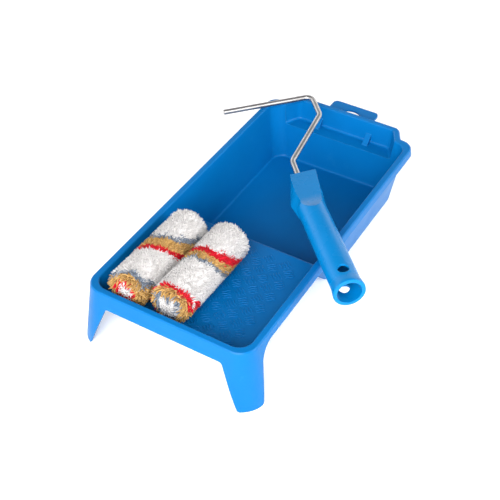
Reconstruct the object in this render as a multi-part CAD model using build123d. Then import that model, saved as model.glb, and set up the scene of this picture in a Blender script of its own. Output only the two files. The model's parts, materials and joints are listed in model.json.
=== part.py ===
"""A mini paint roller set: a moulded tray, a bent-wire roller frame and two plush roller sleeves.

Millimetres, +Z up, +Y from the tray's shallow end to its deep end. The origin is the middle of the
face that the tray's well stands on. The frame lies across the tray's rim and the sleeves lie on
its ramp.
"""
from build123d import *

import os
from math import atan, degrees, radians, tan

# --- Tray: driving dimensions ---------------------------------------------------------------
TRAY_WIDTH = 150.0        # outside the rim
TRAY_HEIGHT = 58.0        # floor to rim
TRAY_LENGTH = 298.5       # near rim edge to the rim edge at the two far corners
BAY_DEPTH = 14.5          # how far the middle of the far rim stands back from those corners
JOG_FRONT_HALF = 60.5     # half width between the two jogs where the rim steps back
JOG_BACK_HALF = 52.5      # and half width of the part that stands back
WALL = 2.0                # thickness of the moulding
LIP = 5.8                 # width of the flat rim
NEAR_Y = -222.0           # near rim edge, measured from the middle of the well's rest face

SIDE_DRAFT = 8.0          # degrees that the side walls lean in towards the bottom
END_DRAFT = 6.0           # the same for the two end walls
INNER_CORNER = 12.0       # radius of the tray's inside corners, seen from above
WALL_FILLET = 2.2         # inside radius between the walls and what they stand on

RAMP_TOP_DEPTH = 19.5     # ramp surface below the rim at the near wall
RAMP_END_DEPTH = 24.5     # and at the edge of the well
RAMP_LENGTH = 135.5       # near rim edge to the edge of the well
WELL_SLOPE = 58.0         # degrees, the drop from the ramp into the well
RIDGE_FILLET = 3.5        # rounding of the ridge between them

LEDGE_DEPTH = 20.0        # the bay's floor below the rim
BAY_BACK_HALF = 49.0      # inside half width of the bay at its back
BAY_FRONT_HALF = 57.1     # and where it opens into the tray
BAY_ROUND = 6.0           # radius of the bay's two back corners
LEDGE_ROUND = 2.5         # fillet where its ledge meets the back

SKIRT_SIDE = 7.0          # how far the rim's skirt hangs along the sides and the far end
SKIRT_NEAR = 14.5         # and along the near end
SKIRT_FLARE = 8.5         # degrees that the skirt and legs lean out
LEG_TOP_HALF = 53.0       # the near skirt between the legs, half its width at the top
LEG_FOOT_HALF = 69.5      # and at the floor
LEG_FOOT_REACH = 11.0     # a leg's foot runs this far back from the near rim edge
LEG_TOP_REACH = 20.5      # and the leg this far where it meets the side skirt
CORNER_NEAR = 15.0        # outside radii of the rim's corners
CORNER_FAR = 12.0
CORNER_BAY = 7.0
CORNER_JOG = 4.0
RIM_ROUND = 1.2           # height of the bevel that rounds the rim's outer edge
RIM_ROUND_ANGLE = 40.0    # and its lean
RIM_BEVEL = 0.7           # bevel of its inner edge

TAB_HALF = 23.4           # hanging tab behind the bay
TAB_REACH = 19.6          # past the bay's rim
TAB_CORNER = 4.5
TAB_HOLE_RADIUS = 11.8    # the tab's arched slot
TAB_HOLE_TOP = 12.2       # top of the arch past the bay's rim
TAB_HOLE_FOOT = 2.5       # its flat foot past the bay's rim
TAB_DROP = 6.5            # the tab's top below the rim

GUSSET_X = 25.6           # two small ribs stand this far each side of the middle of the bay
GUSSET_WIDTH = 5.5
GUSSET_REACH = 9.0        # along the ledge
GUSSET_RISE = 9.0         # and up the bay's back wall

# --- Roller frame: driving dimensions ---------------------------------------------------------
HANDLE_RADIUS = 12.0
HANDLE_LENGTH = 151.0
MOUTH_RADIUS = 13.0       # the rear end flares out to this
MOUTH_BAND = 2.5          # over this length
MOUTH_FLARE = 9.0         # and is down to the handle's own radius here
SOCKET_RADIUS = 10.0      # open bore at the rear, for an extension pole
SOCKET_DEPTH = 90.0
HANG_HOLE_RADIUS = 4.5
HANG_HOLE_Y = 15.5
HANDLE_TURN = 2.1         # degrees between the handle's axis and the neck of the wire
HANDLE_SHIFT = -0.4       # and how far that axis starts from the neck's direction line

NOSE_RADIUS = 5.0         # the round part ends in a nose, hidden in the front
NOSE_Y = 128.0
GRIP_START_Y = 98.0       # from here the round handle changes into a flat-topped front
SHOULDER_Y = 121.0        # where the front is widest, as a stop for the fingers
SHOULDER_ROUND = 4.0
SCOOP_Y = 105.0           # the flat top starts here, sunk into the round part
SCOOP_RUN_IN = 12.0       # over this length the round part slopes down to it
SCOOP_ROUND = 60.0        # rounding between that slope and the flat top
SCOOP_HEIGHT = 7.8        # the flat top's height above the axis where it starts
FRONT_HEIGHT = 4.1        # and at the front end
# Cross-sections of the front as x and height about the axis, in the same order of corners:
# top left, top right, right, bottom right, bottom left, left. The scoop then cuts the top.
GRIP_START_SECTION = [(-7.4, 9), (7.9, 9), (11.5, 0), (7.6, -8.8), (-7.2, -8.8), (-11.2, -4.8)]
SHOULDER_SECTION = [(-7.4, 9), (11.4, 9), (14.4, 0), (9.5, -11), (-9, -11), (-14, -6)]
FRONT_SECTION = [(-6, 9), (16.6, 9), (16.8, 0), (16.0, -4), (-5, -4), (-6, -3)]

# The wire, seen from above with the handle pointing at the viewer: a neck, a crank, an arm.
WIRE_RADIUS = 2.5
WIRE_OFFSET = 4.7         # the wire's neck runs this far off the middle of the frame
WIRE_SOCKET = 36.0        # length of wire inside the handle
NECK_Y = 173.7            # first bend, then second bend, then the arm
CRANK_Y = 235.7
ARM_Y = 268.0
CRANK_OFFSET = 35.6       # the crank runs this far out on the other side
ARM_END = 49.9            # the arm's free end, on the neck's side
WIRE_BENDS = [11.0, 11.0, 7.0]
WIRE_CHAMFER = 0.5

FRAME_REAR = (114.3, 84.6, 15.35)    # middle of the handle's rear end on the tray: X, Y past the
#                                      near rim edge, and height above the rim
FRAME_HEADING = 41.7      # degrees that the frame is turned from +Y towards -X
FRAME_DIP = 2.4           # and that its arm hangs lower than its handle
FRAME_ROLL = 4.4          # and that it has rolled about its own length

# --- Sleeves: driving dimensions --------------------------------------------------------------
SLEEVE_LENGTH = 96.0      # to the pile's ends, without its fringe
PILE_RADIUS = 18.5
PILE_END_ROUND = 9.0      # rounding of the pile at the closed end
PILE_MOUTH_ROUND = 8.0    # and at the open end
CORE_RADIUS = 8.0
CORE_BORE = 6.5
CORE_START = 9.0          # the core tube begins under the closed end
CORE_END = 94.0           # and stops at the flange of the mouth bush
BUSH_LENGTH = 12.0        # length of the end plug and of the bush's spigot
PLUG_WEB = 3.0            # solid end of the plug
RETAINER_RADIUS = 4.0     # the inner part that grips the wire; the sleeve turns round it
RETAINER_WEB = 1.5        # its solid end
RUNNING_GAP = 0.06        # between the retainer and what turns round it
WIRE_FIT = 0.02           # between the retainer's bore and the wire, on the radius
END_PLAY = 0.5            # between the retainer's blind end and the end plug
COLLAR_RISE = 1.2         # stop collar outside the sleeve's mouth
COLLAR_WIDTH = 1.5
BEAD_RISE = 0.8           # snap bead behind the bush, which keeps the sleeve on
BEAD_WIDTH = 1.7
SIDE_PLAY = 0.3           # room that collar and bead leave the bush
FLANGE_GAP = 0.3          # between the bush's flange and the pile round it
SLEEVE_NEAR_Y = {"left": 11.2, "right": 15.3}    # closed end, from the near rim edge
SLEEVE_X = {"left": -42.3, "right": -4.9}
REST_GAP = 0.8            # air left under the sleeves, which only rest on the ramp

# --- Worked out from the above ----------------------------------------------------------------
RIM_Z = TRAY_HEIGHT
FAR_Y = NEAR_Y + TRAY_LENGTH
BAY_Y = FAR_Y + BAY_DEPTH
RAMP_NEAR_Y = NEAR_Y + LIP
RAMP_EDGE_Y = NEAR_Y + RAMP_LENGTH
RAMP_NEAR_Z = RIM_Z - RAMP_TOP_DEPTH
RAMP_EDGE_Z = RIM_Z - RAMP_END_DEPTH
RAMP_FALL = (RAMP_EDGE_Z - RAMP_NEAR_Z) / (RAMP_EDGE_Y - RAMP_NEAR_Y)
FAR_AWAY = 200.0          # reach of cutting blocks beyond the object


def across_x(outline, half_width):
    """Extrude an outline drawn in the Y-Z plane to both sides of X = 0."""
    return extrude(Plane.YZ * outline, half_width, both=True)


def along_y(outline, half_length):
    """Extrude an outline drawn in the X-Z plane to both sides of Y = 0."""
    return extrude(Plane.XZ * outline, half_length, both=True)


def outline_of(points):
    """A closed face from its corner points."""
    return make_face(Polyline(*points, close=True))


# --- Tray -------------------------------------------------------------------------------------
def rim_outline():
    """The rim's outer edge: a rectangle whose far side stands back in the middle, as a bay."""
    half = TRAY_WIDTH / 2
    right = [(half, NEAR_Y), (half, FAR_Y), (JOG_FRONT_HALF, FAR_Y), (JOG_BACK_HALF, BAY_Y)]
    left = [(-x, y) for x, y in reversed(right)]
    radii = [CORNER_NEAR, CORNER_FAR, CORNER_JOG, CORNER_BAY]
    return make_face(FilletPolyline(*right, *left, radius=radii + radii[::-1], close=True))


def wall_section(height, grow):
    """Inside of the tray's walls at one height, moved out by grow."""
    depth = RIM_Z - height
    half = TRAY_WIDTH / 2 - LIP - depth * tan(radians(SIDE_DRAFT)) + grow
    near = NEAR_Y + LIP + depth * tan(radians(END_DRAFT)) - grow
    far = FAR_Y - LIP - depth * tan(radians(END_DRAFT)) + grow
    section = RectangleRounded(2 * half, far - near, INNER_CORNER + grow)
    return Pos(0, (near + far) / 2, height) * section


def under_ramp(grow):
    """Everything below the ramp and before the well, which the tray's inside leaves out."""
    slope = tan(radians(WELL_SLOPE))
    below = -TRAY_HEIGHT
    before = NEAR_Y - TRAY_HEIGHT
    points = [
        (before, below),
        (before, RAMP_NEAR_Z + RAMP_FALL * (before - RAMP_NEAR_Y)),
        (RAMP_EDGE_Y, RAMP_EDGE_Z),
        (RAMP_EDGE_Y + (RAMP_EDGE_Z - below) / slope, below),
    ]
    outline = outline_of(points)
    if grow:
        outline = offset(outline, -grow, kind=Kind.INTERSECTION)
    return across_x(outline, FAR_AWAY)


def bay_outline(height, grow):
    """Inside of the bay's walls at one height, moved out by grow."""
    front = FAR_Y - 3 * BAY_DEPTH
    back = BAY_Y - LIP
    right = [(BAY_FRONT_HALF, front), (BAY_FRONT_HALF, FAR_Y - LIP), (BAY_BACK_HALF, back)]
    left = [(-x, y) for x, y in reversed(right)]
    spread = grow + (height - RIM_Z) * tan(radians(END_DRAFT))
    outline = outline_of(right + left)
    if spread:
        outline = offset(outline, spread, kind=Kind.INTERSECTION)
    return Pos(0, 0, height) * outline


def bay_space(grow, top):
    """The bay's inside up to top: a shallow pocket with a flat ledge for a floor."""
    depth = top - RIM_Z + LEDGE_DEPTH + grow
    pocket = extrude(bay_outline(top, grow), -depth, taper=END_DRAFT)
    back = BAY_Y - LIP
    uprights = [e for e in pocket.edges() if e.center().Y > back - 5 and e.length < 1.5 * depth]
    pocket = fillet(uprights, BAY_ROUND + grow)
    bottom = pocket.faces().sort_by(Axis.Z)[0]
    rear_edges = [e for e in bottom.edges() if e.center().Y > FAR_Y - LIP]
    return fillet(rear_edges, LEDGE_ROUND + grow)


def tray_inside(grow, top):
    """The space the tray holds up to top, grown by the wall for the outside of the moulding."""
    space = loft([wall_section(top, grow), wall_section(WALL - grow, grow)], ruled=True)
    space -= under_ramp(grow)
    ridge = min(space.edges().filter_by(Axis.X), key=lambda e: abs(e.center().Y - RAMP_EDGE_Y))
    space = fillet(ridge, RIDGE_FILLET - grow)
    lower = [e for e in space.edges() if all(v.Z < top - 0.5 for v in e.vertices())]
    lower = [e for e in lower if not is_ridge_seam(e)]
    return fillet(lower, WALL_FILLET + grow) + bay_space(grow, top)


def is_ridge_seam(edge):
    """True for the two lines where the ridge's rounding meets the ramp and the drop."""
    middle = edge.center()
    return abs(middle.X) < 1 and abs(middle.Y - RAMP_EDGE_Y) < 6


def mouth_bevel():
    """A narrow bevel round the lip's inner edge."""
    height = RIM_Z - RIM_BEVEL
    mouth = wall_section(height, 0) + bay_outline(height, 0)
    return extrude(mouth, 2 * RIM_BEVEL, taper=-45)


def flared_outside():
    """Everything inside the skirt's outer face, with the rim's outer edge bevelled."""
    edge = Pos(0, 0, RIM_Z - RIM_ROUND) * rim_outline()
    block = extrude(edge, RIM_ROUND - TRAY_HEIGHT, taper=-SKIRT_FLARE)
    return block + extrude(edge, RIM_ROUND, taper=RIM_ROUND_ANGLE)


def flared_skin():
    """A thin skin that hangs from the rim's edge to the floor and leans outwards."""
    inner_edge = Pos(0, 0, RIM_Z) * offset(rim_outline(), -WALL)
    return flared_outside() - extrude(inner_edge, -TRAY_HEIGHT, taper=-SKIRT_FLARE)


def leg_front():
    """What is kept of the near skin, seen from the front: the skirt and two tapered legs."""
    skirt_z = RIM_Z - SKIRT_NEAR
    wide = TRAY_WIDTH / 2 + 20.0
    right = [(LEG_TOP_HALF, skirt_z), (LEG_FOOT_HALF, 0), (wide, 0), (wide, RIM_Z)]
    left = [(-x, z) for x, z in reversed(right)]
    radii = [3.0, 3.0, 0, 0]
    return make_face(FilletPolyline(*right, *left, radius=radii + radii[::-1], close=True))


def leg_side():
    """What is kept of the side skin, seen from the side: the skirt and one leg's rear edge."""
    skirt_z = RIM_Z - SKIRT_SIDE
    points = [
        (NEAR_Y - 20.0, RIM_Z),
        (NEAR_Y - 20.0, 0),
        (NEAR_Y + LEG_FOOT_REACH, 0),
        (NEAR_Y + LEG_TOP_REACH, skirt_z),
        (BAY_Y + 20.0, skirt_z),
        (BAY_Y + 20.0, RIM_Z),
    ]
    return make_face(FilletPolyline(*points, radius=[0, 0, 4.0, 16.0, 0, 0], close=True))


def skirt_and_legs():
    """The rim's skirt, with the two legs that carry the tray's shallow end."""
    skin = flared_skin()
    reach = 40.0
    behind_edge = 8.0
    zone_y = NEAR_Y + behind_edge - reach / 2
    near_zone = Pos(0, zone_y, RIM_Z / 2) * Box(FAR_AWAY, reach, RIM_Z)
    near_part = skin & near_zone & Pos(0, NEAR_Y, 0) * along_y(leg_front(), reach)
    return (near_part + (skin - near_zone)) & across_x(leg_side(), FAR_AWAY / 2)


def hanging_tab():
    """A flat tab behind the bay, with an arched slot to hang the tray by."""
    root_y = BAY_Y - LIP
    tip_y = BAY_Y + TAB_REACH
    points = [(TAB_HALF, root_y), (TAB_HALF, tip_y), (-TAB_HALF, tip_y), (-TAB_HALF, root_y)]
    plate = make_face(FilletPolyline(*points, radius=[0, TAB_CORNER, TAB_CORNER, 0], close=True))
    arch_y = BAY_Y + TAB_HOLE_TOP - TAB_HOLE_RADIUS
    arch = Pos(0, arch_y) * Circle(TAB_HOLE_RADIUS)
    above_foot = Pos(0, BAY_Y + TAB_HOLE_FOOT + FAR_AWAY / 2) * Rectangle(FAR_AWAY, FAR_AWAY)
    return extrude(Pos(0, 0, RIM_Z - TAB_DROP) * (plate - (arch & above_foot)), -WALL)


def bay_gussets():
    """Two small ribs that stiffen the bay's back wall above its ledge, sunk 1 mm into it."""
    back = BAY_Y - LIP - 0.5
    ledge_z = RIM_Z - LEDGE_DEPTH
    profile = outline_of([
        (back, ledge_z - 1),
        (back - GUSSET_REACH - 0.5, ledge_z - 1),
        (back - GUSSET_REACH, ledge_z + 1),
        (back, ledge_z + GUSSET_RISE),
    ])
    rib = across_x(profile, GUSSET_WIDTH / 2)
    return [Pos(side * GUSSET_X, 0, 0) * rib for side in (-1, 1)]


def tray():
    """The tray, one moulding."""
    top_slab = Pos(0, 0, RIM_Z - WALL / 2) * Box(2 * FAR_AWAY, 4 * FAR_AWAY, WALL)
    lip = flared_outside() & top_slab
    shell = tray_inside(WALL, RIM_Z - WALL / 2) + lip + skirt_and_legs() + hanging_tab()
    shell = shell - tray_inside(0, RIM_Z + WALL) - mouth_bevel()
    for rib in bay_gussets():
        shell += rib
    return shell


# --- Roller frame -----------------------------------------------------------------------------
# Drawn along +Y from the handle's rear end, with the wire in the X-Y plane, then laid on the tray.
def wire_path():
    """Centre line of the bent wire, from inside the handle to its free end."""
    points = [
        (-WIRE_OFFSET, HANDLE_LENGTH - WIRE_SOCKET, 0),
        (-WIRE_OFFSET, NECK_Y, 0),
        (CRANK_OFFSET, CRANK_Y, 0),
        (CRANK_OFFSET, ARM_Y, 0),
        (-ARM_END, ARM_Y, 0),
    ]
    return FilletPolyline(*points, radius=WIRE_BENDS)


def wire():
    """The wire: a round rod bent into a neck, a crank and the arm that a sleeve fits on."""
    path = wire_path()
    rod = sweep(Plane(path @ 0, z_dir=path % 0) * Circle(WIRE_RADIUS), path=path)
    ends = [face.edges() for face in rod.faces().filter_by(GeomType.PLANE)]
    return chamfer([edge for edges in ends for edge in edges], WIRE_CHAMFER)


def handle_bar():
    """The handle's round part, with a flared rear end and a nose that the front part hides."""
    profile = [
        (0, 0),
        (MOUTH_RADIUS, 0),
        (MOUTH_RADIUS, MOUTH_BAND),
        (HANDLE_RADIUS, MOUTH_FLARE),
        (HANDLE_RADIUS, SCOOP_Y),
        (NOSE_RADIUS, NOSE_Y),
        (0, NOSE_Y),
    ]
    line = FilletPolyline(*profile, radius=[0, 0.8, 5.0, 20.0, 0, 0, 0], close=True)
    return revolve(make_face(line), Axis.Y)


def grip_section(points, y):
    """One cross-section of the handle's front."""
    return Plane.XZ.offset(-y) * outline_of(points)


def grip_front():
    """The handle's front: it widens to a shoulder, then thins to a blade round the wire."""
    sections = [
        grip_section(GRIP_START_SECTION, GRIP_START_Y),
        grip_section(SHOULDER_SECTION, SHOULDER_Y),
        grip_section(FRONT_SECTION, HANDLE_LENGTH),
    ]
    front = loft(sections, ruled=True)
    shoulder = [e for e in front.edges() if min(v.Y for v in e.vertices()) > SHOULDER_Y - 1]
    shoulder = [e for e in shoulder if max(v.Y for v in e.vertices()) < SHOULDER_Y + 1]
    below_scoop = [e for e in shoulder if e.center().Z < FRONT_HEIGHT]
    return fillet(below_scoop, SHOULDER_ROUND)


def scoop():
    """What is cut away above the front's flat top."""
    above = HANDLE_RADIUS + 10.0
    start = SCOOP_Y - SCOOP_RUN_IN
    points = [
        (start, HANDLE_RADIUS + 0.5),
        (SCOOP_Y, SCOOP_HEIGHT),
        (HANDLE_LENGTH + 1.0, FRONT_HEIGHT),
        (HANDLE_LENGTH + 1.0, above),
        (start, above),
    ]
    line = FilletPolyline(*points, radius=[0, SCOOP_ROUND, 0, 0, 0], close=True)
    return across_x(make_face(line), FAR_AWAY / 4)


def handle():
    """The handle, one moulding round the wire."""
    body = handle_bar() + grip_front() - scoop()
    front = body.faces().sort_by(Axis.Y)[-1]
    body = fillet(front.edges(), 1.0)
    socket = Rot(-90, 0, 0) * Cylinder(SOCKET_RADIUS, 2 * SOCKET_DEPTH)
    hang_hole = Pos(0, HANG_HOLE_Y, 0) * Cylinder(HANG_HOLE_RADIUS, 4 * HANDLE_RADIUS)
    body = Pos(HANDLE_SHIFT, 0, 0) * Rot(0, 0, HANDLE_TURN) * (body - socket - hang_hole)
    wire_hole = Rot(-90, 0, 0) * Cylinder(WIRE_RADIUS, 2 * (WIRE_SOCKET + 2.0))
    return body - Pos(-WIRE_OFFSET, HANDLE_LENGTH, 0) * wire_hole


def roller_frame_place():
    """Where the frame lies: across the right rim by its handle, on the left rim by its arm."""
    x, past_near_edge, above_rim = FRAME_REAR
    rear = Pos(x, NEAR_Y + past_near_edge, RIM_Z + above_rim)
    return rear * Rot(0, 0, FRAME_HEADING) * Rot(-FRAME_DIP, 0, 0) * Rot(0, -FRAME_ROLL, 0)


# --- Sleeves ----------------------------------------------------------------------------------
# Drawn along +Y from the closed end, then laid on the ramp.
def ring(outer, inner, start, end):
    """A plain tube about the Y axis."""
    tube = Cylinder(outer, end - start) - Cylinder(inner, end - start)
    return Pos(0, (start + end) / 2, 0) * Rot(-90, 0, 0) * tube


def disc(radius, start, end):
    """A solid disc about the Y axis."""
    return Pos(0, (start + end) / 2, 0) * Rot(-90, 0, 0) * Cylinder(radius, end - start)


def pile_cover():
    """The plush cover: a thick sleeve of pile, closed at one end and rounded at both."""
    blank = disc(PILE_RADIUS, 0, SLEEVE_LENGTH)
    blank = fillet(blank.faces().sort_by(Axis.Y)[0].edges(), PILE_END_ROUND)
    blank = fillet(blank.faces().sort_by(Axis.Y)[-1].edges(), PILE_MOUTH_ROUND)
    return blank - disc(CORE_RADIUS, CORE_START, SLEEVE_LENGTH + 1)


def core_tube():
    """The stiff tube that the cover is wound on."""
    return ring(CORE_RADIUS, CORE_BORE, CORE_START, CORE_END)


def end_plug():
    """Closes the core under the dome and carries the retainer's blind end."""
    end = CORE_START + BUSH_LENGTH
    solid = disc(CORE_BORE, CORE_START, end)
    return solid - disc(RETAINER_RADIUS + RUNNING_GAP, CORE_START + PLUG_WEB, end + 1)


def mouth_bush():
    """Bears on the retainer at the sleeve's open end."""
    spigot = disc(CORE_BORE, CORE_END - BUSH_LENGTH, CORE_END)
    flange = disc(CORE_RADIUS - FLANGE_GAP, CORE_END, SLEEVE_LENGTH)
    bore = disc(RETAINER_RADIUS + RUNNING_GAP, 0, SLEEVE_LENGTH + 1)
    return spigot + flange - bore


def retainer():
    """The inner tube that pushes onto the wire and stays on it while the sleeve turns."""
    start = CORE_START + PLUG_WEB + END_PLAY
    collar_start = SLEEVE_LENGTH + SIDE_PLAY
    end = collar_start + COLLAR_WIDTH
    bead_end = CORE_END - BUSH_LENGTH - SIDE_PLAY
    collar = disc(RETAINER_RADIUS + COLLAR_RISE, collar_start, end)
    bead = disc(RETAINER_RADIUS + BEAD_RISE, bead_end - BEAD_WIDTH, bead_end)
    body = disc(RETAINER_RADIUS, start, end) + collar + bead
    return body - disc(WIRE_RADIUS + WIRE_FIT, start + RETAINER_WEB, end + 1)


def sleeve_place(side):
    """Where a sleeve lies on the ramp, its axis parallel to the ramp's fall."""
    near_y = NEAR_Y + SLEEVE_NEAR_Y[side]
    axis_z = RAMP_NEAR_Z + RAMP_FALL * (near_y - RAMP_NEAR_Y) + PILE_RADIUS + REST_GAP
    return Pos(SLEEVE_X[side], near_y, axis_z) * Rot(degrees(atan(RAMP_FALL)), 0, 0)


SLEEVE_PIECES = {
    "pile_cover": pile_cover,
    "core_tube": core_tube,
    "end_plug": end_plug,
    "mouth_bush": mouth_bush,
    "retainer": retainer,
}


def all_nodes():
    """Every piece by name, where it lies."""
    nodes = {"tray": tray()}
    place = roller_frame_place()
    nodes["handle"] = place * handle()
    nodes["wire_frame"] = place * wire()
    for side in SLEEVE_X:
        for piece, make in SLEEVE_PIECES.items():
            nodes[f"{side}_{piece}"] = sleeve_place(side) * make()
    return nodes


os.makedirs("parts", exist_ok=True)
for name, solid in all_nodes().items():
    export_step(solid, f"parts/{name}.step")
    print(name, round(solid.volume), solid.is_valid)
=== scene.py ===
"""Looks of the mini paint roller set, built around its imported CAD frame.

Metres, in the frame of the CAD: +Z up, +Y from the tray's shallow end to its deep end. The two
plush covers are modelled tuft by tuft, the ramp gets its moulded ribs, and every other piece is
the CAD's own shape with a procedural material.
"""

import json
from math import cos, pi, radians, sin, tau

import bpy
import numpy as np
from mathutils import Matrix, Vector


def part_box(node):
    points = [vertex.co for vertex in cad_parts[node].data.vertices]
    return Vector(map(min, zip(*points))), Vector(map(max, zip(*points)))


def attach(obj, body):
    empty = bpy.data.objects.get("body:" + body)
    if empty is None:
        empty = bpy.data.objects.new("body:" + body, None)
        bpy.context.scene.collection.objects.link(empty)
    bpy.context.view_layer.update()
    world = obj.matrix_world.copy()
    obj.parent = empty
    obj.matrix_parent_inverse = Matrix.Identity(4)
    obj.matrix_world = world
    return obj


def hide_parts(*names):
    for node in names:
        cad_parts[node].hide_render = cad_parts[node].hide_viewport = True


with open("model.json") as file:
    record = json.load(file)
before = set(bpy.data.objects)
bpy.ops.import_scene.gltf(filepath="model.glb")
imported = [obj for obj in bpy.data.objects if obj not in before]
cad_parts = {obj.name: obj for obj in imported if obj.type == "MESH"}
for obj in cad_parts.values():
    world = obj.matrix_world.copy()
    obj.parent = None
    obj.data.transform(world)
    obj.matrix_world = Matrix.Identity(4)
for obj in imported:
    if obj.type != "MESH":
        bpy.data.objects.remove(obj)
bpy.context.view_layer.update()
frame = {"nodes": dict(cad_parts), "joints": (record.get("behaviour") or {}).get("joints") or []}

MM = 0.001

# --- Sleeves, in millimetres, as in the CAD ---------------------------------------------------
SLEEVE_LENGTH = 96.0
PILE_RADIUS = 18.5
END_ROUND = 9.0           # rounding of the pile at the closed end
MOUTH_ROUND = 8.0         # and at the open end
CORE_RADIUS = 8.1         # just outside the core tube
CORE_START = 8.9          # the bore's blind end
BACKING_DEPTH = 2.6       # the woven backing's surface below the tips of the pile

TUFT_SPACING = 1.12
TUFT_ROOT = 4.6           # how deep a tuft starts
TUFT_WIDTHS = (0.55, 0.52, 0.30)     # its half width at the root, halfway and near the tip
TUFT_SIDES = 3            # corners of its cross-section
TUFT_SHORTER, TUFT_LONGER = -1.5, 0.25    # limits of each tuft's own change of length
LENGTH_WAVE = (4.5, 0.35)            # slow change of length: size of its patches and amount
BULGE_OUT, BULGE_SWING = 0.52, 0.30  # where a tuft is halfway: shares of its length
SHOULDER_BULGE, SHOULDER_TIP = 0.3, 0.62   # and near its tip: shares of the two other bends
SWING = 0.85                         # how far a tuft's lean carries its tip
WIDTH_RANGE = (0.75, 1.2)            # factors on a tuft's width
END_WIDER = 0.35                     # tufts on the two ends are wider by this share

# A tuft's lean, as shares of its length: patches of about (size, amount), then its own spread.
COMB = 0.42               # tufts near the ends lean outwards along the sleeve
LEAN_ALONG = [(17.0, 0.42), (6.0, 0.20)]
LEAN_ALONG_SPREAD = 0.22
LEAN_ACROSS = [(15.0, 0.24), (6.0, 0.16)]
LEAN_ACROSS_SPREAD = 0.20
CLUMP_SPACING = 3.4       # neighbouring tufts lean together in clumps about this wide
CLUMP_PULL = 0.34
FRAY = [(16.0, 1.1), (6.0, 0.6)]     # how the strips' edges wander, in millimetres
FRAY_SPREAD = 0.55
PLACE_JITTER = 0.4        # tufts stray from even rows by this share of their spacing
ROW_STEP = 0.87           # distance of two rows, as a share of the spacing
REACH_OUT = 0.25          # no tuft stands further out than this from the CAD's cover
REACH_NEAR = 3.4          # nor further past its closed end
REACH_MOUTH = 1.4         # or its mouth
FRINGE = 5.0              # the tufts round the closed end are longer by up to about this
FRINGE_MOUTH = 2.2        # and round the mouth by this
FRINGE_ON_FACE = 0.62     # share of it on the flat of an end
FRINGE_ON_CORNER = 1.3    # and extra share on the rounding towards it

BACKING_LUMPS = (5.0, 0.35)          # size and height of the lumps in the woven backing
BACKING_STEPS, BACKING_SEGMENTS = 90, 96
BACKING_MOUTH_WALL = 0.2             # the backing stands this much outside the core at the mouth
SMOOTH_WITHIN = 4.0                  # the backing has no lumps nearer the axis than this

# Coloured strips wound round the sleeve as a helix: a strip's colour depends on how far along
# the sleeve it lies, less one lead for each turn. Each pair is where a strip starts, in
# millimetres from the closed end, and its yarn; the strips repeat after one lead.
STRIPE_LEAD = 51.5
WHITE, RED, GOLD, GREY = range(4)
STRIPES = {
    "left": [(36.6, RED), (41.6, GOLD), (52.0, GREY), (56.2, WHITE)],
    "right": [(36.8, GREY), (40.6, GOLD), (47.8, RED), (53.2, WHITE)],
}
# Each strip sags from a true helix, to both sides of an angle from the top.
STRIPE_SAG = 8.0
STRIPE_SAG_FROM = {"left": 28.0, "right": 60.0}
# Nearer the mouth than this the strips are wider: a millimetre counts as LEAD_GROWTH of one.
LEAD_GROWS_FROM = 58.0
LEAD_GROWTH = 0.55
# Towards the closed end the helix turns into rings, between these two places on the cover. The
# rings lie RING_SHIFT nearer the mouth, and are narrower by RING_SQUEEZE round the end's middle.
RING_FROM, RING_FULL = 14.0, 2.0
RING_SHIFT = {"left": 1.5, "right": 6.3}
RING_SQUEEZE_FROM = 8.0
RING_SQUEEZE = 1.4

# --- Ramp ribs, in millimetres ----------------------------------------------------------------
NEAR_RIM_Y = -222.0
RAMP_NEAR = (5.8, 19.5)   # distance from the near rim edge and depth below the rim
RAMP_EDGE = (135.5, 24.5)
RIB_PITCH = 15.6
RIB_TURN = 39.0           # degrees between a group's ribs and the X axis, to either side
RIB_LENGTH = 8.2
RIB_HALF_WIDTH = 0.62
RIB_HEIGHT = 0.46
RIB_SPACING = 2.5
RIBS_IN_GROUP = 4
RIB_WAVE = 0.42           # how far a rib sways to each side
RIB_WAVES = 0.75          # waves from a rib's middle to its end
RIB_STEPS = 9
RIB_SECTION = [(-1.0, -0.8), (-0.5, 0.85), (0.0, 1.0), (0.5, 0.85), (1.0, -0.8)]
RIB_BLUNTNESS = 0.12      # of a rib's ends
RIB_FIELD_HALF = 54.0
RIB_FIELD_Y = (20.0, 126.0)          # from the near rim edge

# --- Camera, light and looks ------------------------------------------------------------------
CAMERA_TARGET = Vector((0.0172, -0.1212, 0.058))
CAMERA_AZIMUTH = 30.6
CAMERA_ELEVATION = 43.17
CAMERA_DISTANCE = 0.81465
CAMERA_LENS = 72.64       # millimetres, on a sensor 36 mm wide
SENSOR_WIDTH = 36.0

# Each soft light's azimuth and elevation in degrees, distance and side in metres, and watts.
LIGHTS = {
    "key": (28.0, 40.0, 1.7, 1.0, 22.0),
    "front": (4.0, 26.0, 1.7, 1.0, 27.0),
    "side": (105.0, 26.0, 1.6, 0.8, 13.0),
}
SKY_STRENGTH = 2.7
# Sines of the elevations up to which the sky is bright and above which it is dim, with colours.
SKY_BRIGHT = (0.28, (0.8, 0.8, 0.8, 1.0))
SKY_DIM = (0.52, (0.10, 0.10, 0.105, 1.0))
FLOOR_REACH = 5.0         # metres from the middle to each edge
FLOOR_Z = -0.0003         # just under the tray's feet
SEEDS = {"left": 11, "right": 12}    # of the two pile covers
RIB_SEED = 5

# Linear colours: of a moulding and of its worn edges, then its roughness and edge radius.
TRAY_LOOK = ((0.0, 0.128, 0.375), (0.06, 0.30, 0.60), 0.34, 0.0007)
HANDLE_LOOK = ((0.0, 0.165, 0.43), (0.08, 0.36, 0.68), 0.27, 0.0006)
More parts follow.
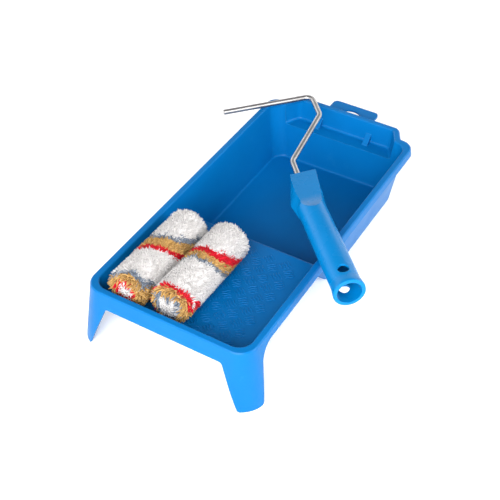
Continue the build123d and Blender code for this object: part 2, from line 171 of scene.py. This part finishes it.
# Each yarn's darkest and palest tone and its sheen, in the order of WHITE, RED, GOLD and GREY.
YARN_LOOKS = {
    "yarn_white": ((0.58, 0.56, 0.55), (0.77, 0.75, 0.74), 0.2),
    "yarn_red": ((0.38, 0.0, 0.008), (0.74, 0.01, 0.03), 0.08),
    "yarn_gold": ((0.28, 0.14, 0.03), (0.68, 0.43, 0.15), 0.1),
    "yarn_grey": ((0.05, 0.07, 0.11), (0.30, 0.35, 0.42), 0.15),
}


def direction(azimuth, elevation):
    """Unit vector from the object towards azimuth (0 is -Y, 90 is +X) and elevation."""
    a, e = radians(azimuth), radians(elevation)
    return Vector((sin(a) * cos(e), -cos(a) * cos(e), sin(e)))


# --- Node helpers -----------------------------------------------------------------------------
class Shader:
    """A material with a Principled surface, and short ways to add nodes to it."""

    def __init__(self, name):
        self.material = bpy.data.materials.new(name)
        self.material.use_nodes = True
        self.nodes = self.material.node_tree.nodes
        self.links = self.material.node_tree.links
        self.surface = self.nodes["Principled BSDF"]
        self.place = self.nodes.new("ShaderNodeTexCoord").outputs["Object"]

    def set(self, **values):
        for name, value in values.items():
            self.surface.inputs[name.replace("_", " ")].default_value = value

    def add(self, kind, inputs=None, **settings):
        node = self.nodes.new(kind)
        for name, value in settings.items():
            setattr(node, name, value)
        for name, value in (inputs or {}).items():
            if isinstance(value, bpy.types.NodeSocket):
                self.links.new(value, node.inputs[name])
            else:
                node.inputs[name].default_value = value
        return node

    def noise(self, scale, detail=3.0, stretch=None, roughness=0.55):
        """Noise in the object's own space; stretch squeezes it along the axes."""
        place = self.place
        if stretch:
            mapping = self.add("ShaderNodeMapping", {"Vector": place, "Scale": stretch})
            place = mapping.outputs["Vector"]
        inputs = {"Vector": place, "Scale": scale, "Detail": detail, "Roughness": roughness}
        return self.add("ShaderNodeTexNoise", inputs).outputs["Fac"]

    def ramp(self, value, stops):
        """A colour ramp through (position, colour) stops."""
        node = self.add("ShaderNodeValToRGB", {"Fac": value})
        elements = node.color_ramp.elements
        while len(elements) < len(stops):
            elements.new(0.5)
        for element, (position, colour) in zip(elements, stops):
            element.position = position
            element.color = (*colour, 1.0)
        return node.outputs["Color"]

    def fit(self, value, low, high, to_low, to_high):
        inputs = {"Value": value, "From Min": low, "From Max": high,
                  "To Min": to_low, "To Max": to_high}
        return self.add("ShaderNodeMapRange", inputs).outputs["Result"]

    def mix(self, factor, a, b):
        node = self.add("ShaderNodeMix", data_type="RGBA")
        for name, value in (("Factor_Float", factor), ("A_Color", a), ("B_Color", b)):
            socket = next(s for s in node.inputs if s.identifier == name)
            if isinstance(value, bpy.types.NodeSocket):
                self.links.new(value, socket)
            else:
                socket.default_value = value if name == "Factor_Float" else (*value, 1.0)
        return next(s for s in node.outputs if s.identifier == "Result_Color")

    def math(self, operation, a, b):
        node = self.add("ShaderNodeMath", operation=operation)
        for socket, value in zip(node.inputs, (a, b)):
            if isinstance(value, bpy.types.NodeSocket):
                self.links.new(value, socket)
            else:
                socket.default_value = value
        return node.outputs["Value"]

    def bump(self, height, strength, distance, normal=None):
        inputs = {"Height": height, "Strength": strength, "Distance": distance}
        if normal is not None:
            inputs["Normal"] = normal
        return self.add("ShaderNodeBump", inputs).outputs["Normal"]

    def connect(self, **sockets):
        for name, socket in sockets.items():
            self.links.new(socket, self.surface.inputs[name.replace("_", " ")])


def shade(colour, factor):
    return tuple(min(1.0, c * factor) for c in colour)


# --- Materials --------------------------------------------------------------------------------
def moulded_plastic(name, colour, edge_colour, gloss, edge_radius):
    """Satin moulded plastic: slow colour drift, fine skin, faint scuffs and paler worn edges."""
    m = Shader(name)
    m.set(IOR=1.49, Specular_IOR_Level=0.15)
    drift = m.noise(14.0, 4.0)
    base = m.ramp(drift, [(0.25, shade(colour, 0.93)), (0.75, shade(colour, 1.07))])
    scuffs = m.noise(60.0, 8.0, stretch=(1.0, 0.4, 1.0), roughness=0.7)
    scuffed = m.fit(scuffs, 0.60, 0.76, 0.0, 0.10)
    base = m.mix(scuffed, base, edge_colour)

    softened = m.add("ShaderNodeBevel", {"Radius": edge_radius}, samples=6).outputs["Normal"]
    flat = m.add("ShaderNodeNewGeometry").outputs["Normal"]
    facing = m.add("ShaderNodeVectorMath", operation="DOT_PRODUCT")
    m.links.new(softened, facing.inputs[0])
    m.links.new(flat, facing.inputs[1])
    edge = m.fit(facing.outputs["Value"], 0.985, 0.86, 0.0, 0.2)
    worn = m.math("MULTIPLY", edge, m.fit(m.noise(90.0, 5.0), 0.35, 0.65, 0.45, 1.0))
    base = m.mix(worn, base, edge_colour)

    patches = m.noise(38.0, 5.0)
    rough = m.fit(patches, 0.3, 0.7, gloss - 0.05, gloss + 0.07)
    rough = m.math("ADD", rough, m.math("MULTIPLY", scuffed, 0.4))
    skin = m.bump(m.noise(1500.0, 3.0), 0.10, 0.0002, softened)
    sink = m.bump(m.noise(28.0, 2.0), 0.10, 0.0005, skin)
    m.connect(Base_Color=base, Roughness=rough, Normal=sink)
    return m.material


def bright_wire(name):
    """Plated steel wire with faint drawing marks and a little tarnish."""
    m = Shader(name)
    m.set(Metallic=1.0)
    tarnish = m.noise(70.0, 5.0)
    base = m.ramp(tarnish, [(0.3, (0.36, 0.35, 0.345)), (0.7, (0.50, 0.49, 0.48))])
    rough = m.fit(m.noise(160.0, 4.0), 0.3, 0.7, 0.28, 0.42)
    marks = m.noise(900.0, 3.0, stretch=(0.25, 0.25, 1.0))
    m.connect(Base_Color=base, Roughness=rough, Normal=m.bump(marks, 0.16, 0.0002))
    return m.material


def pile_yarn(name, dark, pale, sheen):
    """One colour of the pile: each tuft has its own tone, and dirt and dye vary slowly."""
    m = Shader(name)
    m.set(Sheen_Weight=sheen, Sheen_Roughness=0.45, Specular_IOR_Level=0.18)
    own = m.add("ShaderNodeNewGeometry").outputs["Random Per Island"]
    slow = m.noise(120.0, 4.0)
    tone = m.math("ADD", m.math("MULTIPLY", own, 0.62), m.math("MULTIPLY", slow, 0.38))
    base = m.ramp(tone, [(0.12, dark), (0.85, pale)])
    rough = m.fit(m.noise(700.0, 2.0), 0.3, 0.7, 0.74, 0.92)
    fibre = m.noise(3200.0, 3.0, stretch=(1.0, 1.0, 0.2))
    m.connect(Base_Color=base, Roughness=rough, Normal=m.bump(fibre, 0.35, 0.0003))
    return m.material


def matt_plastic(name, colour, gloss):
    """Plain moulded or extruded plastic of the sleeve's hidden parts."""
    m = Shader(name)
    base = m.ramp(m.noise(60.0, 5.0), [(0.3, shade(colour, 0.86)), (0.7, shade(colour, 1.06))])
    rough = m.fit(m.noise(220.0, 4.0), 0.3, 0.7, gloss - 0.08, gloss + 0.1)
    m.connect(Base_Color=base, Roughness=rough, Normal=m.bump(m.noise(1200.0), 0.2, 0.0002))
    return m.material


def pale_floor(name):
    m = Shader(name)
    base = m.ramp(m.noise(3.0), [(0.3, (0.90, 0.90, 0.90)), (0.7, (0.93, 0.93, 0.93))])
    # Painted light: the floor glows a little, which fills in the shade and shadows that fall on
    # it.
    m.set(Roughness=0.9, Specular_IOR_Level=0.1, Emission_Color=(1.0, 1.0, 1.0, 1.0),
          Emission_Strength=0.2)
    m.connect(Base_Color=base)
    return m.material


# --- Meshes -----------------------------------------------------------------------------------
def mesh_object(name, points, faces, materials, face_slots=None):
    """A smooth object from points in metres; face_slots gives each face its material."""
    mesh = bpy.data.meshes.new(name)
    mesh.from_pydata(points, [], faces)
    mesh.polygons.foreach_set("use_smooth", [True] * len(faces))
    for material in materials:
        mesh.materials.append(material)
    if face_slots is not None:
        mesh.polygons.foreach_set("material_index", face_slots)
    mesh.update()
    piece = bpy.data.objects.new(name, mesh)
    bpy.context.scene.collection.objects.link(piece)
    return piece


# --- Pile covers ------------------------------------------------------------------------------
def wander(rng, along, around, size, amplitude, waves=9):
    """Smooth random field on the sleeve, in features of about size millimetres."""
    total = np.zeros_like(along)
    for _ in range(waves):
        turn, phase = rng.uniform(0, tau, 2)
        rate = tau / size * rng.uniform(0.6, 1.3)
        rounds = np.round(rate * cos(turn) * PILE_RADIUS)
        total += np.sin(rate * sin(turn) * along + rounds * around + phase)
    return amplitude * total / np.sqrt(waves)


def cover_outline(s, inset=0.0):
    """Where the cover's outline is at s, the distance along it that equals y on the barrel.

    Returns y, radius and the outward direction as its y and radial parts."""
    start, stop = END_ROUND, SLEEVE_LENGTH - MOUTH_ROUND
    near_arc, mouth_arc = END_ROUND * pi / 2, MOUTH_ROUND * pi / 2
    turn = np.where(s < start, -np.clip((start - s) / near_arc, 0, 1) * pi / 2,
                    np.clip((s - stop) / mouth_arc, 0, 1) * pi / 2)
    rounding = np.where(s < start, END_ROUND, MOUTH_ROUND)
    flat = np.maximum(start - near_arc - s, 0) + np.maximum(s - stop - mouth_arc, 0)
    out_y, out_r = np.sin(turn), np.cos(turn)
    y = np.clip(s, start, stop) + (rounding - inset) * out_y
    radius = PILE_RADIUS - rounding + (rounding - inset) * out_r - flat
    return y, np.maximum(radius, 0.0), out_y, out_r


OUTLINE_START = END_ROUND - END_ROUND * pi / 2 - (PILE_RADIUS - END_ROUND)
OUTLINE_END = (SLEEVE_LENGTH - MOUTH_ROUND + MOUTH_ROUND * pi / 2
               + PILE_RADIUS - MOUTH_ROUND - CORE_RADIUS)


def stripe_at(side, fray, s, around):
    """The yarn colour at each place on the cover."""
    sag = STRIPE_SAG * (1 - np.cos(around - radians(STRIPE_SAG_FROM[side])))
    middle = np.clip(s, RING_SQUEEZE_FROM, LEAD_GROWS_FROM)
    wound = (middle + (np.maximum(s, middle) - middle) * LEAD_GROWTH
             + (np.minimum(s, middle) - middle) * RING_SQUEEZE)
    ring = np.clip((RING_FROM - s) / (RING_FROM - RING_FULL), 0, 1)
    turned = (1 - ring) * (STRIPE_LEAD * around / tau + sag)
    position = wound - turned - ring * RING_SHIFT[side] + fray
    first = STRIPES[side][0][0]
    position = (position - first) % STRIPE_LEAD + first
    colour = np.full(s.shape, WHITE)
    for edge, yarn in STRIPES[side]:
        colour = np.where(position >= edge, yarn, colour)
    return colour


def scatter(rng, spacing):
    """Places spread evenly but not regularly over the cover, as s and the angle round it."""
    s_all, around_all = [], []
    rows = int((OUTLINE_END - OUTLINE_START) / (spacing * ROW_STEP))
    for row in range(rows):
        s = OUTLINE_START + (row + 0.5) * (OUTLINE_END - OUTLINE_START) / rows
        radius = float(cover_outline(np.array([s]))[1][0])
        count = max(3, round(tau * radius / spacing))
        stray = rng.uniform(-PLACE_JITTER, PLACE_JITTER, count)
        around = (np.arange(count) + stray + rng.uniform()) * tau / count
        s_all.append(s + rng.uniform(-PLACE_JITTER, PLACE_JITTER, count) * spacing)
        around_all.append(around)
    around = (np.concatenate(around_all) + pi) % tau - pi
    return np.clip(np.concatenate(s_all), OUTLINE_START, OUTLINE_END), around


def on_cover(y, radius, around):
    """Points in the sleeve's own space: across, along and up, in millimetres."""
    return np.stack([radius * np.sin(around), y, radius * np.cos(around)], axis=-1)


def unit(vectors):
    return vectors / np.maximum(np.linalg.norm(vectors, axis=-1, keepdims=True), 1e-9)


def keep_in_cover(points):
    """Pull points back that stand out further than the cover's room allows."""
    radius = np.hypot(points[..., 0], points[..., 2])
    allowed = np.minimum(1.0, (PILE_RADIUS + REACH_OUT) / np.maximum(radius, 1e-6))
    points[..., 0] *= allowed
    points[..., 2] *= allowed
    points[..., 1] = np.clip(points[..., 1], -REACH_NEAR, SLEEVE_LENGTH + REACH_MOUTH)
    return points


def patches(rng, s, around, waves, spread, start=0.0):
    """A value for each tuft: start, plus smooth patches of (size, amount), plus its own share."""
    total = start
    for size, amplitude in waves:
        total = total + wander(rng, s, around, size, amplitude)
    return total + rng.normal(0, spread, s.size)


def tuft_lengths(rng, s, around, out_y, out_r):
    """How long each tuft is, with the longer fringe round both ends."""
    length = TUFT_ROOT + rng.uniform(TUFT_SHORTER, TUFT_LONGER, s.size)
    length += wander(rng, s, around, *LENGTH_WAVE)
    end_share = FRINGE_ON_FACE * np.abs(out_y) + FRINGE_ON_CORNER * np.abs(out_y * out_r)
    fringe = np.where(out_y < 0, FRINGE, FRINGE_MOUTH)
    return length + fringe * end_share * rng.uniform(0.0, 1.0, s.size)


def clumped(rng, tip):
    """Tips drawn towards the nearest clump."""
    clump_s, clump_around = scatter(rng, CLUMP_SPACING)
    clump_y, clump_radius, _, _ = cover_outline(clump_s)
    clump = on_cover(clump_y, clump_radius, clump_around)
    gap = np.linalg.norm(tip[:, None, :] - clump[None, :, :], axis=-1)
    return tip + CLUMP_PULL * (clump[gap.argmin(axis=1)] - tip)


def tuft_spines(rng, s, around):
    """Four points up the middle of each tuft, the way along the cover there, and the outward y."""
    y, radius, out_y, out_r = cover_outline(s)
    surface = on_cover(y, radius, around)
    outward = unit(on_cover(out_y, out_r, around) + 1e-6)
    along = np.stack([-out_y * np.sin(around), out_r, -out_y * np.cos(around)], axis=-1)
    across = np.cross(along, outward)

    middle = SLEEVE_LENGTH / 2
    combed = COMB * np.clip((y - middle) / middle, -1, 1) ** 3
    lean_along = patches(rng, s, around, LEAN_ALONG, LEAN_ALONG_SPREAD, combed)
    lean_across = patches(rng, s, around, LEAN_ACROSS, LEAN_ACROSS_SPREAD)
    length = tuft_lengths(rng, s, around, out_y, out_r)[:, None]
    swing = along * lean_along[:, None] + across * lean_across[:, None]

    root = surface - outward * TUFT_ROOT
    tip = clumped(rng, root + length * (outward + SWING * swing))
    bulge = root + length * (BULGE_OUT * outward + BULGE_SWING * swing)
    shoulder = root + SHOULDER_BULGE * (bulge - root) + SHOULDER_TIP * (tip - root)
    heading = unit(tip - root)
    return keep_in_cover(np.stack([root, bulge, shoulder, tip], axis=1)), heading, along, out_y


def tuft_points(rng, spine, heading, along, out_y):
    """Rings of points round each tuft's spine, and its tip."""
    side_a = unit(np.cross(heading, along + 0.01))
    side_b = np.cross(heading, side_a)
    count = len(spine)
    spin = rng.uniform(0, tau, count)
    width = rng.uniform(*WIDTH_RANGE, count) * (1 + END_WIDER * np.abs(out_y))
    rings = []
    for level, half_width in enumerate(TUFT_WIDTHS):
        for corner in range(TUFT_SIDES):
            angle = spin + corner * tau / TUFT_SIDES
            offset = side_a * np.cos(angle)[:, None] + side_b * np.sin(angle)[:, None]
            rings.append(spine[:, level] + offset * (half_width * width)[:, None])
    return keep_in_cover(np.stack(rings + [spine[:, -1]], axis=1))


def tuft_faces():
    """The faces of one tuft: a closed root, sides and a pointed tip."""
    faces = [tuple(range(TUFT_SIDES))[::-1]]
    last = (len(TUFT_WIDTHS) - 1) * TUFT_SIDES
    for level in range(0, last, TUFT_SIDES):
        for corner in range(TUFT_SIDES):
            a, b = level + corner, level + (corner + 1) % TUFT_SIDES
            faces.append((a, b, b + TUFT_SIDES, a + TUFT_SIDES))
    tip = last + TUFT_SIDES
    return faces + [(last + c, last + (c + 1) % TUFT_SIDES, tip) for c in range(TUFT_SIDES)]


def tufts(rng, side):
    """Every tuft of one cover: points, faces and each face's yarn."""
    s, around = scatter(rng, TUFT_SPACING)
    points = tuft_points(rng, *tuft_spines(rng, s, around))
    faces = tuft_faces()
    per_tuft = points.shape[1]
    all_faces = [tuple(i + n * per_tuft for i in face) for n in range(s.size) for face in faces]
    fray = patches(rng, s, around, FRAY, FRAY_SPREAD)
    yarn = np.repeat(stripe_at(side, fray, s, around), len(faces))
    return points.reshape(-1, 3), all_faces, yarn


def backing(rng, side):
    """The lumpy cloth under the tufts, closed round the core's bore."""
    segments = BACKING_SEGMENTS
    s = np.linspace(OUTLINE_START, OUTLINE_END, BACKING_STEPS)
    y, radius, _, _ = cover_outline(s, BACKING_DEPTH)
    y = np.append(y, [y[-1], CORE_START])
    radius = np.append(np.maximum(radius, 0.02), [CORE_RADIUS, CORE_RADIUS])
    radius[-3] = max(radius[-3], CORE_RADIUS + BACKING_MOUTH_WALL)
    around = np.arange(segments) * tau / segments - pi
    grid_s, grid_around = np.meshgrid(np.append(s, [s[-1], s[-1]]), around, indexing="ij")
    lump = wander(rng, grid_s, grid_around, *BACKING_LUMPS)
    lump[0] = lump[0].mean()
    lump[-3:] = 0
    grid_radius = radius[:, None] + np.where(radius[:, None] > SMOOTH_WITHIN, lump, 0)
    points = on_cover(np.broadcast_to(y[:, None], grid_radius.shape), grid_radius, grid_around)
    points = points.reshape(-1, 3)

    faces, places = [], []
    rows = len(y)
    for row in range(rows - 1):
        for k in range(segments):
            a, b = row * segments + k, row * segments + (k + 1) % segments
            faces.append((a, b, b + segments, a + segments))
            places.append((row, k))
    faces.append(tuple(range(segments))[::-1])
    faces.append(tuple((rows - 1) * segments + k for k in range(segments)))
    places += [(0, 0), (rows - 1, 0)]
    row, k = np.array(places).T
    yarn = stripe_at(side, 0.0, grid_s[row, k], grid_around[row, k])
    return points, faces, yarn


def pile_cover(side, yarns, seed):
    """One plush cover, laid where the CAD's cover lies."""
    rng = np.random.default_rng(seed)
    tuft_points, tuft_faces, tuft_yarn = tufts(rng, side)
    cloth_points, cloth_faces, cloth_yarn = backing(rng, side)
    shift = len(tuft_points)
    points = np.concatenate([tuft_points, cloth_points]) * MM
    faces = tuft_faces + [tuple(i + shift for i in face) for face in cloth_faces]

    joint = next(j for j in frame["joints"] if j["name"] == f"{side}_sleeve_spin")
    along = np.array(joint["axis"])
    along = along / np.linalg.norm(along)
    across = np.array([1.0, 0.0, 0.0])
    closed_end = np.array(joint["pos_m"]) - along * SLEEVE_LENGTH / 2 * MM
    placed = points @ np.stack([across, along, np.cross(across, along)]) + closed_end
    slots = np.concatenate([tuft_yarn, cloth_yarn])
    cover = mesh_object(f"{side}_pile", placed.tolist(), faces, yarns, slots.tolist())
    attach(cover, f"{side}_sleeve")
    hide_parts(f"{side}_pile_cover")


# --- Ramp ribs --------------------------------------------------------------------------------
def ramp_height(y, rim_z):
    """The ramp's surface at y, in millimetres."""
    near_y, near_depth = RAMP_NEAR
    edge_y, edge_depth = RAMP_EDGE
    fall = (edge_depth - near_depth) / (edge_y - near_y)
    return rim_z - near_depth - fall * (y - NEAR_RIM_Y - near_y)


def one_rib(x, y, turn, phase, rim_z):
    """Points and faces of one low wavy rib, sunk a little into the ramp."""
    points = []
    for step in range(RIB_STEPS):
        t = 2 * step / (RIB_STEPS - 1) - 1
        taper = max(RIB_BLUNTNESS, (1 - t ** 4)) ** 0.5
        ahead = t * RIB_LENGTH / 2
        sway = RIB_WAVE * sin(tau * RIB_WAVES * t + phase)
        for across, height in RIB_SECTION:
            side = sway + across * RIB_HALF_WIDTH * taper
            px = x + ahead * cos(turn) - side * sin(turn)
            py = y + ahead * sin(turn) + side * cos(turn)
            lift = height * RIB_HEIGHT * (taper if height > 0 else 1.0)
            points.append((px * MM, py * MM, (ramp_height(py, rim_z) + lift) * MM))
    n = len(RIB_SECTION)
    faces = []
    for step in range(RIB_STEPS - 1):
        for k in range(n):
            a, b = step * n + k, step * n + (k + 1) % n
            faces.append((b, a, a + n, b + n))
    faces.append(tuple(range(n)))
    faces.append(tuple((RIB_STEPS - 1) * n + k for k in range(n))[::-1])
    return points, faces


def rib_groups():
    """Middles and turns of the rib groups, as a basket weave over the ramp."""
    near, far = (NEAR_RIM_Y + y for y in RIB_FIELD_Y)
    half_steps = int(RIB_FIELD_HALF / RIB_PITCH * 2)
    rows = int((far - near) / RIB_PITCH * 2)
    for row in range(rows + 1):
        for column in range(-half_steps, half_steps + 1):
            if (row + column) % 2 == 0:
                turn = radians(RIB_TURN if row % 2 == 0 else -RIB_TURN)
                yield column * RIB_PITCH / 2, near + row * RIB_PITCH / 2, turn


def ramp_ribs(material, seed):
    rng = np.random.default_rng(seed)
    rim_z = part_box("tray")[1].z / MM
    points, faces = [], []
    for x, y, turn in rib_groups():
        for k in range(RIBS_IN_GROUP):
            offset = (k - (RIBS_IN_GROUP - 1) / 2) * RIB_SPACING
            middle = (x - offset * sin(turn), y + offset * cos(turn))
            rib_points, rib_faces = one_rib(*middle, turn, rng.uniform(0, tau), rim_z)
            faces += [tuple(i + len(points) for i in face) for face in rib_faces]
            points += rib_points
    ribs = mesh_object("ramp_ribs", points, faces, [material])
    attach(ribs, "tray")


# --- Stage ------------------------------------------------------------------------------------
def floor():
    corners = [(-1, -1), (1, -1), (1, 1), (-1, 1)]
    points = [(x * FLOOR_REACH, y * FLOOR_REACH, FLOOR_Z) for x, y in corners]
    ground = mesh_object("floor", points, [(0, 1, 2, 3)], [pale_floor("floor_white")])


def soft_light(name, azimuth, elevation, distance, size, power):
    """A large square light aimed at the middle of the tray."""
    lamp = bpy.data.lights.new(name, "AREA")
    lamp.shape = "SQUARE"
    lamp.size = size
    lamp.energy = power
    holder = bpy.data.objects.new(name, lamp)
    towards = direction(azimuth, elevation)
    holder.location = CAMERA_TARGET + towards * distance
    holder.rotation_mode = "QUATERNION"
    holder.rotation_quaternion = (-towards).to_track_quat("-Z", "Y")
    bpy.context.scene.collection.objects.link(holder)


def studio_world():
    """Even white surroundings, brighter near the horizon than overhead."""
    world = bpy.data.worlds.new("studio")
    world.use_nodes = True
    nodes, links = world.node_tree.nodes, world.node_tree.links
    height = nodes.new("ShaderNodeSeparateXYZ")
    links.new(nodes.new("ShaderNodeTexCoord").outputs["Generated"], height.inputs["Vector"])
    ramp = nodes.new("ShaderNodeValToRGB")
    links.new(height.outputs["Z"], ramp.inputs["Fac"])
    low, high = ramp.color_ramp.elements
    low.position, low.color = SKY_BRIGHT
    high.position, high.color = SKY_DIM
    links.new(ramp.outputs["Color"], nodes["Background"].inputs["Color"])
    nodes["Background"].inputs["Strength"].default_value = SKY_STRENGTH
    bpy.context.scene.world = world


def camera():
    data = bpy.data.cameras.new("camera")
    data.sensor_width = SENSOR_WIDTH
    data.lens = CAMERA_LENS
    holder = bpy.data.objects.new("camera", data)
    towards = direction(CAMERA_AZIMUTH, CAMERA_ELEVATION)
    holder.location = CAMERA_TARGET + towards * CAMERA_DISTANCE
    holder.rotation_mode = "QUATERNION"
    holder.rotation_quaternion = (-towards).to_track_quat("-Z", "Y")
    bpy.context.scene.collection.objects.link(holder)
    bpy.context.scene.camera = holder


# --- Everything put together ------------------------------------------------------------------
def dress(node, material):
    """Give a CAD node its material."""
    mesh = frame["nodes"][node].data
    mesh.materials.clear()
    mesh.materials.append(material)


def build():
    tray_blue = moulded_plastic("tray_blue", *TRAY_LOOK)
    handle_blue = moulded_plastic("handle_blue", *HANDLE_LOOK)
    yarns = [pile_yarn(name, *look) for name, look in YARN_LOOKS.items()]
    core = matt_plastic("core_white", (0.74, 0.74, 0.71), 0.55)
    cap = matt_plastic("cap_white", (0.80, 0.80, 0.77), 0.45)
    grey = matt_plastic("retainer_grey", (0.10, 0.11, 0.13), 0.4)

    dress("tray", tray_blue)
    dress("handle", handle_blue)
    dress("wire_frame", bright_wire("wire_bright"))
    for side, seed in SEEDS.items():
        dress(f"{side}_core_tube", core)
        dress(f"{side}_end_plug", cap)
        dress(f"{side}_mouth_bush", cap)
        dress(f"{side}_retainer", grey)
        pile_cover(side, yarns, seed)
    ramp_ribs(tray_blue, RIB_SEED)

    floor()
    studio_world()
    for name, placing in LIGHTS.items():
        soft_light(name, *placing)
    camera()
    bpy.context.scene.view_settings.view_transform = "Standard"


build()
